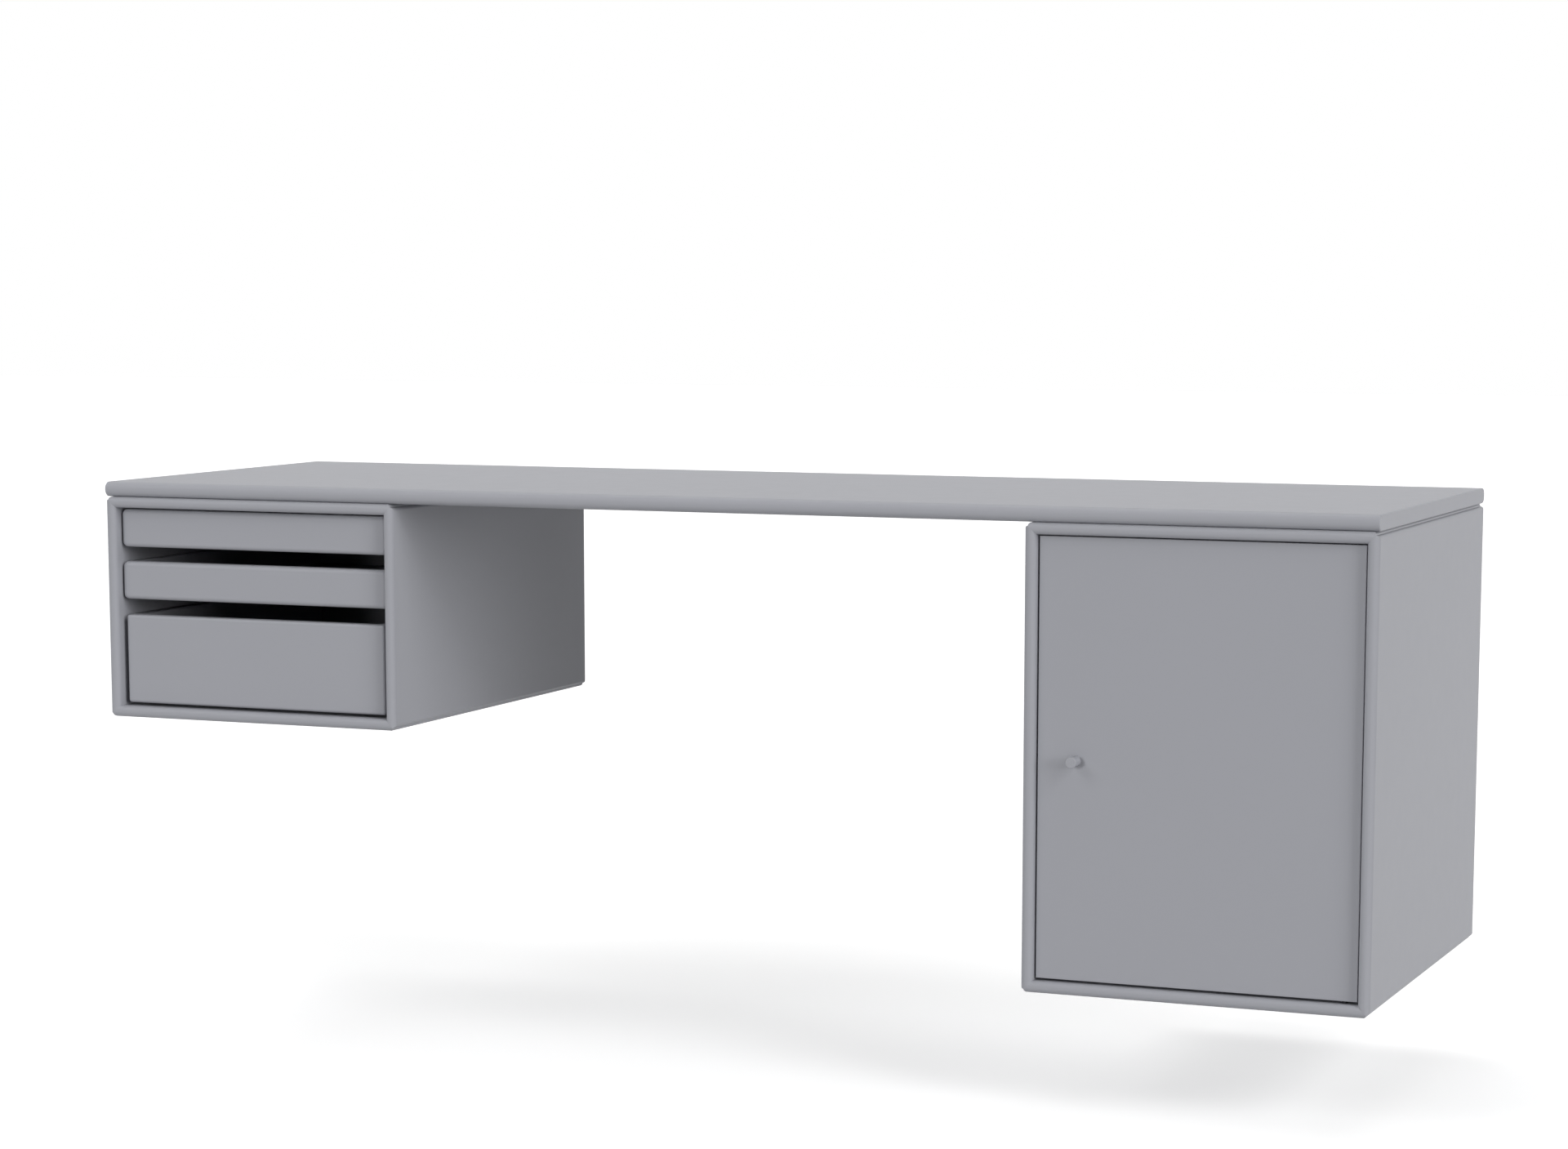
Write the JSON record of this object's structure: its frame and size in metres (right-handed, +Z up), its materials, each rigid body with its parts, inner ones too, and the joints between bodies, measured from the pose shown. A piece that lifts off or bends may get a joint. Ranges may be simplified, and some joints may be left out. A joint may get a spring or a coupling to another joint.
{
  "type": "wall desk",
  "caption": "Wall-hung desk: a long flat top on a low cabinet with open-grip trays and a drawer, and a tall cabinet with an inset door and peg knob.",
  "frame": {"origin": "on the wall plane, at the middle of the back edge of the top and at half its thickness", "axes": "+X to the right along the top, +Y into the wall, +Z up; the fronts face -Y"},
  "size_m": [1.41, 0.4755, 0.485],
  "materials": {
    "lacquered_board": "satin light grey lacquer",
    "lacquered_knob": "satin light grey lacquer on a turned peg",
    "beech": "plain beech",
    "runner_plastic": "fine-grained grey plastic",
    "zinc_steel": "bright zinc plate",
    "dark_steel": "blackened steel",
    "bush_plastic": "dark grey plastic",
    "catch_plastic": "dark grey plastic"
  },
  "bodies": {
    "root": {"desk_top": "lacquered_board", "left_case_top": "lacquered_board", "left_case_bottom": "lacquered_board", "left_case_left_side": "lacquered_board", "left_case_right_side": "lacquered_board", "left_case_back": "lacquered_board", "right_case_top": "lacquered_board", "right_case_bottom": "lacquered_board", "right_case_left_side": "lacquered_board", "right_case_right_side": "lacquered_board", "right_case_back": "lacquered_board", "left_corner_splines": "beech", "right_corner_splines": "beech", "cabinet_shelf": "lacquered_board", "shelf_pins": "zinc_steel", "left_wall_rail": "zinc_steel", "right_wall_rail": "zinc_steel", "left_hangers": "zinc_steel", "right_hangers": "zinc_steel", "upper_tray_runners": "runner_plastic", "middle_tray_runners": "runner_plastic", "drawer_runners": "runner_plastic", "top_screws": "zinc_steel", "hinge_bushes": "bush_plastic", "magnet_catch": "catch_plastic"},
    "upper_tray": {"upper_tray_front": "lacquered_board", "upper_tray_left_side": "lacquered_board", "upper_tray_right_side": "lacquered_board", "upper_tray_back": "lacquered_board", "upper_tray_bottom": "lacquered_board"},
    "middle_tray": {"middle_tray_front": "lacquered_board", "middle_tray_left_side": "lacquered_board", "middle_tray_right_side": "lacquered_board", "middle_tray_back": "lacquered_board", "middle_tray_bottom": "lacquered_board"},
    "drawer": {"drawer_front": "lacquered_board", "drawer_left_side": "lacquered_board", "drawer_right_side": "lacquered_board", "drawer_back": "lacquered_board", "drawer_bottom": "lacquered_board"},
    "door": {"door_panel": "lacquered_board", "door_knob": "lacquered_knob", "knob_screw": "zinc_steel", "upper_hinge_pin": "dark_steel", "lower_hinge_pin": "dark_steel", "strike_plate": "zinc_steel"}
  },
  "joints": [
    {"name": "upper_tray_slide", "type": "slide", "parent": "root", "child": "upper_tray", "axis": [0, -1, 0], "range_m": [0, 0.3]},
    {"name": "middle_tray_slide", "type": "slide", "parent": "root", "child": "middle_tray", "axis": [0, -1, 0], "range_m": [0, 0.3]},
    {"name": "drawer_slide", "type": "slide", "parent": "root", "child": "drawer", "axis": [0, -1, 0], "range_m": [0, 0.3]},
    {"name": "door_hinge", "type": "hinge", "parent": "root", "child": "door", "pos_m": [0.67735, -0.454, -0.242], "axis": [0, 0, 1], "range_deg": [0, 110]}
  ]
}
